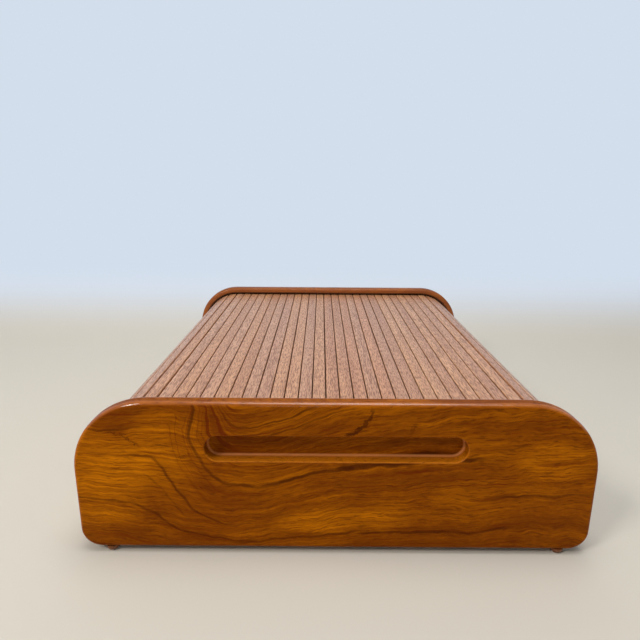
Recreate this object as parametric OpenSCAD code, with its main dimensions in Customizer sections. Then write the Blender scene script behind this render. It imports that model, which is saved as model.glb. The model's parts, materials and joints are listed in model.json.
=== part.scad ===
// Tambour lid box: two end panels, a slatted curtain that slides in a groove round the inside of
// the panels, and the boards that tie the panels together.
// +X is the width, across the slats. +Y is the length, away from the front end panel. +Z is up.
// The origin is the middle of the footprint, on the surface that the feet stand on. Millimetres.

/* [Box] */
// Width over the end panels, across the slats
box_w = 356; // [330:2:380]
// Length over the two end panels, along the slats
box_l = 404; // [200:2:520]
// Height of the end panels, without the feet
panel_h = 110; // [102:1:122]

/* [End panels] */
// Thickness of an end panel
panel_t = 12; // [11:0.5:16]
// Radius of the panels' top corners
top_corner_r = 51; // [46:1:54]
// Radius of the panels' bottom corners
low_corner_r = 14; // [8:1:18]
// Radius of the rounding along the panels' edges
edge_r = 3.5; // [1.5:0.25:4]
// How far the panels stand proud of the curtain
reveal = 9; // [7.5:0.5:10]

/* [Finger recess] */
// Length of the recess over its round ends
recess_l = 177; // [100:1:220]
// Height of the recess, as wide as the cutter
recess_h = 18.5; // [14:0.5:24]
// Depth of the recess
recess_d = 9; // [5:0.25:9.5]
// Height of the recess's middle above the panel's bottom edge
recess_z = 77; // [60:0.5:78]
// Bevel round the mouth of the recess
recess_bevel = 0.6; // [0.3:0.1:1.2]
// Radius of the cutter's corner, left round the floor of the recess
cutter_corner_r = 2; // [1:0.25:3]

/* [Curtain] */
// Number of slats behind the lead rail
slat_count = 42; // [40:1:46]
// Length of curtain that lies in the lower bend when the lid is shut
curtain_tail = 21.2; // [17:0.1:23]
// Thickness of a slat
slat_t = 6; // [5.5:0.25:6.5]
// Gap between slats, measured at the canvas
slat_gap = 0.8; // [0.7:0.1:0.9]
// Rounding of the outer edges of a slat
slat_edge_r = 0.9; // [0.4:0.1:1.2]
// Thickness of the canvas backing
canvas_t = 0.8; // [0.5:0.1:1]
// How much narrower a canvas strip is than the slat pitch
canvas_joint = 0.5; // [0.4:0.1:0.8]
// How far the canvas stops short of the slats' ends
canvas_setback = 4; // [2:0.5:10]
// Thickness of the glue line between canvas and slats
glue_line = 0.05; // [0.03:0.01:0.1]

/* [Lead rail] */
// Width of the lead rail, along the track
rail_w = 18; // [16:0.5:20]
// Thickness of the lead rail
rail_t = 9; // [8:0.25:9.5]
// Rounding of the lead rail's outer edges
rail_edge_r = 1.5; // [0.5:0.25:2]
// Radius of the finger cove along the lead rail
cove_r = 5; // [4:0.25:6]
// Depth of the finger cove
cove_d = 2.5; // [1.5:0.25:3]
// Gap between the lead rail and the board it closes on
closing_gap = 0.3; // [0.2:0.1:0.6]

/* [Track] */
// Depth of the groove in each end panel
groove_d = 6; // [5:0.25:7]
// Clearance of a slat on the groove's inner side
groove_inner_play = 0.4; // [0.3:0.05:0.5]
// Clearance of a slat on the groove's outer side, a dark line above the slats
groove_outer_play = 1.8; // [1:0.1:2]
// Clearance at the ends of the slats and of the lead rail
end_play = 0.5; // [0.3:0.1:0.8]
// Radius of the track's lower bend, at the canvas
low_bend_r = 24; // [23:0.5:26]
// Height of the curtain's lower run above the panels' bottom edge, at the canvas
low_run_z = 17; // [16.5:0.25:18]
// Distance from the end of the track to the panels' side edge
track_end_inset = 19; // [18.5:0.5:22]

/* [Boards] */
// How far the boards lie inside the panels' outline
board_inset = 1.5; // [1:0.25:2]
// Height of the side boards' top edges above the panels' bottom edge
side_board_top = 27; // [24:0.5:30]
// Thickness of the left side board, which the lead rail closes on
left_board_t = 15.5; // [14:0.25:16]
// Thickness of the right side board
right_board_t = 5; // [4:0.25:5.5]
// Thickness of the bottom board
bottom_board_t = 4.5; // [4:0.25:5]
// Thickness of the floor board
floor_t = 6; // [4:0.5:8]
// Gap between the floor board and the canvas of the lower run
floor_gap = 1.7; // [1.2:0.1:2.2]
// How far the floor board's right edge lies beyond the middle of the lower bend
floor_overhang = 5; // [4:0.5:6]
// Thickness of the inner walls
inner_wall_t = 6; // [4:0.5:8]
// Height of the inner walls above the floor board
inner_wall_h = 35; // [20:1:38]
// Depth of the housings in the end panels that hold the boards
housing_d = 4; // [2:0.5:5]
// Diameter of the dowels in the left side board
dowel_d = 6; // [4:0.5:8]
// Depth of a dowel in the board
dowel_in_board = 20; // [12:1:30]
// Depth of a dowel in the end panel
dowel_in_panel = 8; // [6:0.5:9]
// Radial clearance of dowels and pegs in their holes
peg_play = 0.05; // [0.02:0.01:0.1]

/* [Feet] */
// Height of the feet
foot_h = 4; // [3:0.5:8]
// Diameter of the feet
foot_d = 9; // [7:0.5:11]
// Diameter of the flat that a foot stands on
foot_flat_d = 5; // [3:0.5:6]
// Distance of the feet from the panels' side edges
foot_inset = 20; // [18:0.5:30]
// Distance of the feet from the panels' outer faces
foot_setback = 5; // [4.5:0.25:5.5]
// Diameter of a foot's peg
foot_peg_d = 5; // [3:0.5:6]
// Length of a foot's peg
foot_peg_l = 5; // [3:0.5:6]

/* [Hidden] */
$fn = 64;
// Overrun of a cut past the face that it opens
eps = 0.01;
// How far a panel's rounded rim laps into its flat middle
rim_lap = 1;

// Colours, as seen on the real wood
panel_teak = [0.58, 0.30, 0.10];
slat_teak = [0.74, 0.56, 0.43];
inner_teak = [0.62, 0.40, 0.24];
dowel_beech = [0.85, 0.72, 0.52];
canvas_cloth = [0.45, 0.36, 0.26];

// Heights above the surface that the box stands on
panel_z = foot_h;
panel_top = panel_z + panel_h;
half_w = box_w / 2;
half_l = box_l / 2;
inner_half_l = half_l - panel_t;

// The track is measured at the canvas, on the inner faces of the slats
track_x = half_w - reveal - slat_t;
track_top = panel_top - reveal - slat_t;
top_bend_r = top_corner_r - reveal - slat_t;
top_bend_x = half_w - top_corner_r;
top_bend_z = panel_top - top_corner_r;
track_low = panel_z + low_run_z;
low_bend_x = track_x - low_bend_r;
low_bend_z = track_low + low_bend_r;
track_end_x = -(half_w - track_end_inset);

// Lengths along the track, counted from the foot of the left top bend
top_bend_len = top_bend_r * PI / 2;
flat_len = 2 * top_bend_x;
side_len = top_bend_z - low_bend_z;
low_bend_len = low_bend_r * PI / 2;
s_flat = top_bend_len;
s_right = s_flat + flat_len;
s_side = s_right + top_bend_len;
s_low = s_side + side_len;
s_under = s_low + low_bend_len;

// The slats share the track between the lead rail and the curtain's tail
board_top = panel_z + side_board_top;
rail_s = board_top + closing_gap + rail_w / 2 - top_bend_z;
slats_start_s = rail_s + rail_w / 2 + slat_gap;
pitch = (s_low + curtain_tail + slat_gap - slats_start_s) / slat_count;
slat_w = pitch - slat_gap;
first_slat_s = slats_start_s + slat_w / 2;

function slat_name(number) = str("slat_", number < 10 ? "0" : "", number);

// The slats run in the grooves, and the lead rail fits between the panels
slat_half_l = inner_half_l + groove_d - end_play;
rail_half_l = inner_half_l - end_play;
canvas_half_l = rail_half_l - canvas_setback;

// Boards
board_low = panel_z + board_inset;
board_outer_x = half_w - board_inset;
left_board_inner_x = -board_outer_x + left_board_t;
right_board_inner_x = board_outer_x - right_board_t;
bottom_top = board_low + bottom_board_t;
floor_low = track_low + canvas_t + floor_gap;
floor_top = floor_low + floor_t;
floor_right_x = low_bend_x + floor_overhang;
board_half_l = inner_half_l + housing_d;
foot_x = half_w - foot_inset;
foot_y = half_l - foot_setback;
dowel_x = -board_outer_x + left_board_t / 2;
dowel_zs = [for (share = [0.25, 0.75]) board_low + share * (board_top - board_low)];

// Places a piece drawn at the origin on the track: +Z of the piece points out of the box
module on_track(s) {
    if (s < 0)
        translate([-track_x, 0, top_bend_z + s]) rotate([0, -90, 0]) children();
    else if (s < s_flat)
        translate([-top_bend_x, 0, top_bend_z])
            rotate([0, 90 * s / top_bend_len - 90, 0]) translate([0, 0, top_bend_r]) children();
    else if (s < s_right)
        translate([s - s_flat - top_bend_x, 0, track_top]) children();
    else if (s < s_side)
        translate([top_bend_x, 0, top_bend_z])
            rotate([0, 90 * (s - s_right) / top_bend_len, 0])
                translate([0, 0, top_bend_r]) children();
    else if (s < s_low)
        translate([track_x, 0, top_bend_z - (s - s_side)]) rotate([0, 90, 0]) children();
    else if (s < s_under)
        translate([low_bend_x, 0, low_bend_z])
            rotate([0, 90 + 90 * (s - s_low) / low_bend_len, 0])
                translate([0, 0, low_bend_r]) children();
    else
        translate([low_bend_x - (s - s_under), 0, track_low]) rotate([0, 180, 0]) children();
}

// Draws a profile given in X and Z, from y = -half to y = half
module along_y(half) {
    rotate([90, 0, 0]) translate([0, 0, -half]) linear_extrude(2 * half) children();
}

// Quarter of a disc, between a start angle and 90 degrees more
module quarter_disc(r, start) {
    rotate(start) intersection() {
        circle(r, $fn = 96);
        square(r);
    }
}

// Front view outline of the box, drawn in by a distance
module box_outline(inset) {
    top_r = top_corner_r - inset;
    low_r = low_corner_r - inset;
    low_x = half_w - low_corner_r;
    low_z = panel_z + low_corner_r;
    translate([top_bend_x, top_bend_z]) quarter_disc(top_r, 0);
    translate([-top_bend_x, top_bend_z]) quarter_disc(top_r, 90);
    translate([-low_x, low_z]) quarter_disc(low_r, 180);
    translate([low_x, low_z]) quarter_disc(low_r, 270);
    translate([-top_bend_x, top_bend_z]) square([2 * top_bend_x, top_r]);
    translate([inset - half_w, low_z]) square([box_w - 2 * inset, top_bend_z - low_z]);
    translate([-low_x, panel_z + inset]) square([2 * low_x, low_r]);
}

// Section of a panel's rounded rim: outwards in X, through the panel's thickness in Y
module rim_section() {
    translate([0, edge_r]) quarter_disc(edge_r, 270);
    translate([0, panel_t - edge_r]) quarter_disc(edge_r, 0);
    translate([0, edge_r]) square([edge_r, panel_t - 2 * edge_r]);
    translate([-rim_lap, 0]) square([rim_lap, panel_t]);
}

// Rim round one corner of a panel, from a start angle seen from the front
module rim_corner(x, z, r, start) {
    translate([x, 0, z]) rotate([90, 0, 0]) mirror([0, 0, 1]) rotate([0, 0, start])
        rotate_extrude(angle = 90, $fn = 96) translate([r - edge_r, 0]) rim_section();
}

// Rim along one straight edge of a panel, from a point and at a heading seen from the front
module rim_run(x, z, heading, length) {
    translate([x, 0, z]) rotate([0, 90 - heading, 0]) linear_extrude(length) rim_section();
}

// Board of an end panel with rounded edges, its outer face at y = 0
module panel_blank() {
    low_x = half_w - low_corner_r;
    low_z = panel_z + low_corner_r;
    edge_x = half_w - edge_r;
    upright = top_bend_z - low_z;
    translate([0, panel_t / 2, 0]) along_y(panel_t / 2) box_outline(edge_r);
    rim_corner(top_bend_x, top_bend_z, top_corner_r, 0);
    rim_corner(-top_bend_x, top_bend_z, top_corner_r, 90);
    rim_corner(-low_x, low_z, low_corner_r, 180);
    rim_corner(low_x, low_z, low_corner_r, 270);
    rim_run(-low_x, panel_z + edge_r, 0, 2 * low_x);
    rim_run(edge_x, low_z, 90, upright);
    rim_run(top_bend_x, panel_top - edge_r, 180, 2 * top_bend_x);
    rim_run(-edge_x, top_bend_z, 270, upright);
}

// Quarter of a ring, between a start angle and 90 degrees more
module quarter_ring(inner_r, outer_r, start) {
    difference() {
        quarter_disc(outer_r, start);
        circle(inner_r, $fn = 96);
    }
}

// Front view of a band that follows the track, between two distances outside the canvas line
module track_band(inner, outer) {
    band = outer - inner;
    for (side = [-1, 1])
        translate([side * top_bend_x, top_bend_z])
            quarter_ring(top_bend_r + inner, top_bend_r + outer, side > 0 ? 0 : 90);
    translate([low_bend_x, low_bend_z])
        quarter_ring(low_bend_r + inner, low_bend_r + outer, 270);
    translate([-top_bend_x, track_top + inner]) square([flat_len, band]);
    translate([-track_x - outer, board_top]) square([band, top_bend_z - board_top]);
    translate([track_x + inner, low_bend_z]) square([band, side_len]);
    translate([track_end_x, track_low - outer]) square([low_bend_x - track_end_x, band]);
}

// Half of the cutter's section: outwards in X, into the panel in Y
module cutter_half_section() {
    r = recess_h / 2;
    corner_x = r - cutter_corner_r;
    corner_y = recess_d - cutter_corner_r;
    square([corner_x, recess_d]);
    square([r, corner_y]);
    translate([corner_x, corner_y]) quarter_disc(cutter_corner_r, 0);
    polygon([[0, 0], [r + recess_bevel, 0], [r, recess_bevel], [0, recess_bevel]]);
}

// Long hole with round ends, along X, with a bevelled mouth at y = 0
module finger_recess() {
    end_x = (recess_l - recess_h) / 2;
    for (side = [-1, 1])
        translate([side * end_x, 0, 0]) rotate([-90, 0, 0])
            rotate_extrude($fn = 96) cutter_half_section();
    for (side = [0, 1])
        mirror([0, 0, side]) rotate([90, 0, 90]) translate([0, 0, -end_x])
            linear_extrude(2 * end_x) rotate(90) mirror([0, 1]) cutter_half_section();
}

// Front views of the boards
module left_board_profile() {
    intersection() {
        box_outline(board_inset);
        translate([-board_outer_x, 0]) square([left_board_t, board_top]);
    }
}

module right_board_profile() {
    intersection() {
        box_outline(board_inset);
        translate([right_board_inner_x, 0]) square([right_board_t, board_top]);
    }
}

module bottom_board_profile() {
    width = right_board_inner_x - left_board_inner_x;
    intersection() {
        box_outline(board_inset);
        translate([left_board_inner_x, 0]) square([width, bottom_top]);
    }
}

module floor_profile() {
    translate([left_board_inner_x, floor_low])
        square([floor_right_x - left_board_inner_x, floor_t]);
}

// Dowels of the left side board at one end, or their holes
module dowels(play) {
    length = dowel_in_board + dowel_in_panel;
    for (z = dowel_zs)
        translate([dowel_x, -inner_half_l - dowel_in_panel - play, z])
            rotate([-90, 0, 0]) cylinder(h = length + 2 * play, d = dowel_d + 2 * play);
}

// Front end panel, with its inner face on the curtain's side
module end_panel() {
    peg_hole = foot_peg_l + end_play;
    color(panel_teak) difference() {
        translate([0, -half_l, 0]) panel_blank();
        translate([0, -inner_half_l, 0]) along_y(groove_d)
            track_band(-groove_inner_play, slat_t + groove_outer_play);
        translate([0, -half_l, panel_z + recess_z]) finger_recess();
        translate([0, -inner_half_l, 0]) along_y(housing_d) {
            left_board_profile();
            right_board_profile();
            bottom_board_profile();
            floor_profile();
        }
        dowels(peg_play);
        for (side = [-1, 1])
            translate([side * foot_x, -foot_y, panel_z - eps])
                cylinder(h = peg_hole + eps, d = foot_peg_d + 2 * peg_play);
    }
}

module front_end_panel() {
    end_panel();
}

module back_end_panel() {
    mirror([0, 1, 0]) end_panel();
}

module left_side_board() {
    color(panel_teak) difference() {
        along_y(board_half_l) left_board_profile();
        for (end = [0, 1]) mirror([0, end, 0]) dowels(peg_play);
    }
}

module right_side_board() {
    color(panel_teak) along_y(board_half_l) right_board_profile();
}

module bottom_board() {
    color(inner_teak) along_y(board_half_l) bottom_board_profile();
}

module floor_board() {
    color(inner_teak) along_y(board_half_l) floor_profile();
}

// Wall that stands on the floor board, from its left face
module inner_wall(left_x) {
    color(inner_teak) translate([left_x, -inner_half_l, floor_top])
        cube([inner_wall_t, 2 * inner_half_l, inner_wall_h]);
}

module left_inner_wall() {
    inner_wall(left_board_inner_x);
}

module right_inner_wall() {
    inner_wall(floor_right_x - inner_wall_t);
}

module side_board_dowels() {
    color(dowel_beech) for (end = [0, 1]) mirror([0, end, 0]) dowels(0);
}

// Domed foot with a small flat to stand on and a peg into the panel
module foot(x_side, y_side) {
    r = foot_d / 2;
    dome_z = sqrt(pow(r, 2) - pow(foot_flat_d / 2, 2));
    color(panel_teak) translate([x_side * foot_x, y_side * foot_y, 0]) {
        rotate_extrude() {
            intersection() {
                translate([0, dome_z]) circle(r);
                square([r, min(dome_z, foot_h)]);
            }
            translate([0, dome_z]) square([r, foot_h - dome_z]);
        }
        cylinder(h = foot_h + foot_peg_l, d = foot_peg_d);
    }
}

// Section of a slat or rail: across in X, out of the box in Y, with rounded outer edges
module strip_section(width, thick, round_r) {
    flat = width - 2 * round_r;
    translate([-width / 2, 0]) square([width, thick - round_r]);
    translate([-flat / 2, thick - round_r]) square([flat, round_r]);
    translate([flat / 2, thick - round_r]) quarter_disc(round_r, 0);
    translate([-flat / 2, thick - round_r]) quarter_disc(round_r, 90);
}

// Canvas under a slat or rail, a glue line away from it
module canvas_strip(width) {
    color(canvas_cloth) along_y(canvas_half_l)
        translate([-width / 2, -canvas_t]) square([width, canvas_t - glue_line]);
}

// Slat by its number, counted from the lead rail
module slat(number) {
    on_track(first_slat_s + (number - 1) * pitch) {
        color(slat_teak) along_y(slat_half_l) strip_section(slat_w, slat_t, slat_edge_r);
        canvas_strip(pitch - canvas_joint);
    }
}

// Stouter first slat with a finger cove, and tongues like slats' ends that run in the grooves
module lead_rail() {
    on_track(rail_s) {
        color(slat_teak) difference() {
            union() {
                along_y(rail_half_l) strip_section(rail_w, rail_t, rail_edge_r);
                along_y(slat_half_l) strip_section(slat_w, slat_t, slat_edge_r);
            }
            translate([0, 0, rail_t + cove_r - cove_d]) rotate([90, 0, 0])
                cylinder(h = box_l, r = cove_r, center = true);
        }
        canvas_strip(rail_w);
    }
}

front_end_panel();
back_end_panel();
left_side_board();
right_side_board();
floor_board();
bottom_board();
left_inner_wall();
right_inner_wall();
side_board_dowels();
foot(-1, -1);  // foot_front_left
foot(1, -1);  // foot_front_right
foot(-1, 1);  // foot_back_left
foot(1, 1);  // foot_back_right
lead_rail();
for (number = [1 : slat_count])
    slat(number);
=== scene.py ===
# %% [markdown]
# # A tambour lid box in teak
#
# The box has two solid end panels with a finger recess in each, and between them a lid of thin
# slats glued to canvas, which slides round the inside of the panels in a groove. This lesson
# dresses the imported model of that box: it keeps the pieces whose shape is already right, models
# the rest again in mesh code, and gives every surface a finish of oiled wood, bare wood or cloth
# built from shader nodes. The model comes in as a fixed frame, and every new piece is placed
# from it.

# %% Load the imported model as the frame
import json
import math
import random

import bmesh
import bpy
from mathutils import Euler, Matrix, Vector

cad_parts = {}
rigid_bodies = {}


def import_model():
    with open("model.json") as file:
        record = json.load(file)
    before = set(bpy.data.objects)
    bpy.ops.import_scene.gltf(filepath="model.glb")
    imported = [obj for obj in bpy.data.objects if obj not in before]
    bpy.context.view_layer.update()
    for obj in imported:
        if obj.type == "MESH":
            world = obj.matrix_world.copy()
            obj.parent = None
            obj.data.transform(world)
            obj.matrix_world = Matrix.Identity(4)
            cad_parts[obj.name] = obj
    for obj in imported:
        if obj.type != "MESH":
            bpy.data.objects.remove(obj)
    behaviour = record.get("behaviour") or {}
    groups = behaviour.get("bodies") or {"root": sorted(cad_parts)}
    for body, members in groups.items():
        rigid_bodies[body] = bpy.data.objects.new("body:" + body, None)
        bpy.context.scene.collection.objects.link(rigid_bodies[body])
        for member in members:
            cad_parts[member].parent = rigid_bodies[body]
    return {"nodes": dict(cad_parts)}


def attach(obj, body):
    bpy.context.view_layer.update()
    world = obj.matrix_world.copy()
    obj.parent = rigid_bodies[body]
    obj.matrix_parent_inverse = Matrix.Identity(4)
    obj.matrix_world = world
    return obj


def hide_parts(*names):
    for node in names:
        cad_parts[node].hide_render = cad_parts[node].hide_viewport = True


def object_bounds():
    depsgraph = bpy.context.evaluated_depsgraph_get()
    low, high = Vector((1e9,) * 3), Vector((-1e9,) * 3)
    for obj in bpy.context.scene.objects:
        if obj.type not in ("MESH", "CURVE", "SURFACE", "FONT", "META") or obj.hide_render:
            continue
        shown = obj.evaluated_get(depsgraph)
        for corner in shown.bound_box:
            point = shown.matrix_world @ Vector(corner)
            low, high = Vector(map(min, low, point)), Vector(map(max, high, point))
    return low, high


MM = 0.001
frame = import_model()
nodes = frame["nodes"]
cad_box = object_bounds()
print("pieces in the frame:", len(nodes))

# %% [markdown]
# ## The camera
#
# The picture was taken a little above the box, close to its front panel and almost square to it.
# A camera can be placed by eye, but matching it to the picture's edges keeps every proportion
# honest, so the place, the tilt, the small roll and the lens below come from such a match.

# %% The camera, as it stood for the picture
CAMERA_PLACE = Vector((-0.0113, -0.5161, 0.2517))
CAMERA_DOWN = math.radians(14.515)
CAMERA_TURN = math.radians(0.038)
CAMERA_ROLL = math.radians(0.393)
CAMERA_LENS = 29.24
SENSOR_WIDTH = 36.0


def new_object(name, data):
    """A new object of the scene."""
    made = bpy.data.objects.new(name, data)
    bpy.context.scene.collection.objects.link(made)
    return made


def make_camera():
    """A camera that looks along +Y and down, with the picture's small turn and roll."""
    data = bpy.data.cameras.new("camera")
    data.sensor_width = SENSOR_WIDTH
    data.lens = CAMERA_LENS
    camera = new_object("camera", data)
    aim = Euler((math.pi / 2 - CAMERA_DOWN, 0, CAMERA_TURN)).to_matrix()
    roll = Matrix.Rotation(CAMERA_ROLL, 3, "Z")
    camera.matrix_world = Matrix.Translation(CAMERA_PLACE) @ (aim @ roll).to_4x4()
    bpy.context.scene.camera = camera
    return camera


camera = make_camera()
bpy.context.scene.view_settings.view_transform = "Standard"
print("camera stands at", tuple(round(v, 4) for v in camera.location))

# %% [markdown]
# ## Formulas made of shader nodes
#
# A material in Blender is a graph of nodes. Written out one call at a time, even a simple graph
# fills a page. So a node's output is wrapped here in a small class that knows arithmetic:
# `a * b + 1` adds the two nodes and joins them, and a formula reads like a formula. Wherever a
# value is asked for, a plain number will do as well.

# %% Arithmetic on the outputs of nodes
def operator(operation, swapped=False):
    """A method of Value that adds one arithmetic node."""
    def method(self, other=0.0):
        return maths(operation, *((other, self) if swapped else (self, other)))
    return method


class Value:
    """A node's output. Arithmetic on it adds the nodes that work out the result."""

    def __init__(self, socket):
        self.socket, self.tree = socket, socket.id_data

    __add__, __radd__ = operator("ADD"), operator("ADD", True)
    __sub__, __rsub__ = operator("SUBTRACT"), operator("SUBTRACT", True)
    __mul__, __rmul__ = operator("MULTIPLY"), operator("MULTIPLY", True)
    __truediv__, __rtruediv__ = operator("DIVIDE"), operator("DIVIDE", True)
    __pow__, __abs__ = operator("POWER"), operator("ABSOLUTE")


def tree_of(values):
    """The node tree that some values belong to."""
    return next(value.tree for value in values if isinstance(value, Value))


def feed(socket, value):
    """Gives a socket a plain value, or joins it to a node's output."""
    if isinstance(value, Value):
        value.tree.links.new(value.socket, socket)
    else:
        socket.default_value = value


def step(kind, values, output=0, **settings):
    """Adds a node with its settings, fills its inputs in order, and returns one output."""
    made = tree_of(values).nodes.new(kind)
    for name, setting in settings.items():
        setattr(made, name, setting)
    for socket, value in zip(made.inputs, values):
        feed(socket, value)
    return Value(made.outputs[output])


def maths(operation, *values):
    """One arithmetic step, such as ADD or SINE."""
    return step("ShaderNodeMath", values, operation=operation)


def clamped(value):
    """Makes the step that gave a value keep it between 0 and 1."""
    value.socket.node.use_clamp = True
    return value


def largest(first, second):
    """The larger of two values."""
    return maths("MAXIMUM", first, second)


def distance(first, second):
    """The length of a line that reaches so far along two axes."""
    return maths("SQRT", first * first + second * second)


# %% [markdown]
# ## Places, masks, colours and noise
#
# The same few things are needed for every finish. A mask is 0 in some parts of a surface and 1
# in others, with soft edges, because nothing on wood ends in a sharp line. Colours are laid over
# each other, each with a mask as its share, and noise gives the randomness that makes grain.

# %% Helpers for places, masks, colours and noise
def fill(node, **inputs):
    """Fills a node's inputs, named as in the interface, with _ for a space."""
    for name, value in inputs.items():
        feed(node.inputs[name.replace("_", " ")], value)


def add_node(tree, kind, settings=None, **inputs):
    """Adds a node, applies its settings, fills its inputs, and returns its outputs by name."""
    made = tree.nodes.new(kind)
    for name, setting in (settings or {}).items():
        setattr(made, name, setting)
    fill(made, **inputs)
    return {socket.name: Value(socket) for socket in made.outputs}


def parts_of(place):
    """The X, Y and Z of a place or a direction."""
    made = add_node(place.tree, "ShaderNodeSeparateXYZ", Vector=place)
    return made["X"], made["Y"], made["Z"]


def joined(x, y, z):
    """A place made of its X, Y and Z."""
    return step("ShaderNodeCombineXYZ", (x, y, z))


def vector_maths(operation, first, second):
    """One step of arithmetic on places, axis by axis."""
    return step("ShaderNodeVectorMath", (first, second), operation=operation)


def squeezed(place, length, width):
    """A place whose X is counted in lengths, and whose Y and Z are counted in widths."""
    return vector_maths("MULTIPLY", place, joined(1.0 / length, 1.0 / width, 1.0 / width))


def soft_mask(value, low, high, to_low=0.0, to_high=1.0):
    """Rises smoothly from to_low to to_high while value goes from low to high."""
    return step("ShaderNodeMapRange", (value, low, high, to_low, to_high),
                interpolation_type="SMOOTHSTEP")


def falling(value, low, high):
    """Falls smoothly from 1 to 0 while value goes from low to high."""
    return soft_mask(value, low, high, 1.0, 0.0)


def stretch(value, rise, fall, soft):
    """1 between rise and fall and 0 outside, with edges that are soft wide."""
    return soft_mask(value, rise, rise + soft) * falling(value, fall - soft, fall)


def blend(share, first, second):
    """Mixes two colours by a share of the second."""
    made = share.tree.nodes.new("ShaderNodeMix")
    made.data_type = "RGBA"
    for index, value in ((0, share), (6, first), (7, second)):
        feed(made.inputs[index], value)
    return Value(made.outputs[2])


def layered(colour, layers):
    """Lays colours over a first one. Each layer is a share and its colour."""
    for share, over in layers:
        colour = blend(share, colour, over)
    return colour


def noise(place, scale=1.0, detail=2.0):
    """Smooth random values over space, in 0 to 1, mostly near a half."""
    return add_node(place.tree, "ShaderNodeTexNoise", Vector=place, Scale=scale,
                    Detail=detail)["Fac"]


def noise_along(line, scale, detail):
    """The same kind of randomness along one line, which makes bands out of a distance."""
    return add_node(line.tree, "ShaderNodeTexNoise", {"noise_dimensions": "1D"}, W=line,
                    Scale=scale, Detail=detail)["Fac"]


# %% [markdown]
# ## Shader node groups
#
# Grain, pores and worn edges appear in more than one finish. Copying their nodes into every
# material works but soon drifts apart, so each effect is a node group: it is built once, has
# named inputs and outputs, and every material places it with its own numbers. A group here puts
# out only values that change over the surface. The shader itself stays in the material.

# %% Helpers that build and place a node group
ORIGIN = (0.0, 0.0, 0.0)


def shader_group(name, **inputs):
    """Builds a group from the formula written below it. Inputs have defaults, and a tuple makes
    a vector. The formula is given the inputs, and returns the outputs by name."""
    def build(formula):
        group = bpy.data.node_groups.new(name, "ShaderNodeTree")
        for label, value in inputs.items():
            kind = "NodeSocketVector" if isinstance(value, tuple) else "NodeSocketFloat"
            group.interface.new_socket(name=label.replace("_", " "), in_out="INPUT",
                                       socket_type=kind).default_value = value
        outputs = formula(add_node(group, "NodeGroupInput"))
        for label in outputs:
            group.interface.new_socket(name=label, in_out="OUTPUT",
                                       socket_type="NodeSocketFloat")
        fill(group.nodes.new("NodeGroupOutput"), **outputs)
        print(group.name, "has", len(group.nodes), "nodes")
        return group
    return build


def place_group(group, **inputs):
    """Places a group beside the outputs that feed it, and returns its own outputs by name."""
    return add_node(tree_of(inputs.values()), "ShaderNodeGroup", {"node_tree": group}, **inputs)


# %% [markdown]
# ### The figure of the front panel
#
# The front panel is sawn close to a branch. On its left the year rings run level and far apart.
# Then they sink together along a steep flank, past the recess's left end, and run on to the right
# below it, closer and rising a little. A picture of wood would give this at once, but it can't be
# changed or scaled. A formula can: every point gets the height that its ring has at the board's
# left end, so lines of equal height are the rings. A second output says how tightly the rings
# crowd there, which lets a ring be drawn equally wide on the flank and beside it.

# %% The group that turns a place on a panel into its ring
# The flank, in mm: where it starts low and high on the board, and where it ends
FLANK_START_LOW, FLANK_START_TOP, FLANK_END = -155.0, -104.0, -66.0
SINK_LOW, SINK_HIGH = 20.0, 110.0
SINK_BASE, SINK_GAIN = 16.3, 1.22
RISE_FROM, RISE_REACH = -54.0, 90.0
RISE_BASE, RISE_GAIN, RISE_POWER = 0.12, 0.26, 1.3
WANDER_SCALE, WANDER_GAIN = 0.028, 4.0


def in_mm(place):
    """A place in millimetres instead of metres."""
    return vector_maths("MULTIPLY", place, (1 / MM, 1 / MM, 1 / MM))


@shader_group("board_figure", Place=ORIGIN, Slide=0.0, Wander=5.0)
def figure_group(given):
    """Rings is a ring's height at the left end in mm, Crowding its change per mm, and Level a
    height for fine streaks, which run like the rings but crowd less."""
    place = in_mm(given["Place"])
    broad = add_node(place.tree, "ShaderNodeTexNoise", Vector=place, Scale=WANDER_SCALE,
                     Detail=4.0)
    drift = vector_maths("SUBTRACT", broad["Color"], (0.5, 0.5, 0.5))
    pushed = add_node(place.tree, "ShaderNodeVectorMath", {"operation": "SCALE"}, Vector=drift,
                      Scale=given["Wander"] * WANDER_GAIN)["Vector"]
    x, _, z = parts_of(vector_maths("ADD", place, pushed))
    x = x - given["Slide"]
    # How far down the flank the point is, from 0 to 1. The flank is narrower near the top.
    height = clamped((z - SINK_LOW) / (SINK_HIGH - SINK_LOW))
    start = height * (FLANK_START_TOP - FLANK_START_LOW) + FLANK_START_LOW
    flank_width = FLANK_END - start
    share = clamped((x - start) / flank_width)
    sink = share * share * (3.0 - share * 2.0)
    steep = (share - share * share) * 6.0 / flank_width
    # Right of the flank the rings rise, the upper ones more.
    right = largest(x - RISE_FROM, 0.0)
    run = RISE_REACH - maths("EXPONENT", right / -RISE_REACH) * RISE_REACH
    slope = largest(z / 100.0, 0.0) ** RISE_POWER * RISE_GAIN + RISE_BASE
    level = z - run * slope
    sunk = level * SINK_GAIN + SINK_BASE
    height_left = sink * sunk + level
    upward = sink * SINK_GAIN + 1.0
    return {"Rings": height_left, "Level": height_left / upward,
            "Crowding": distance(steep * sunk, upward)}


# %% [markdown]
# ### Year rings
#
# Teak shows soft golden and brown bands, and here and there a thin dark line where growth
# stopped. Both come from randomness along the distance across the rings: slow changes make the
# bands, and the rare high values of a faster one make the lines. A second, broad randomness over
# the surface lets each line fade in and out, as it does on real wood.

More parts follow.
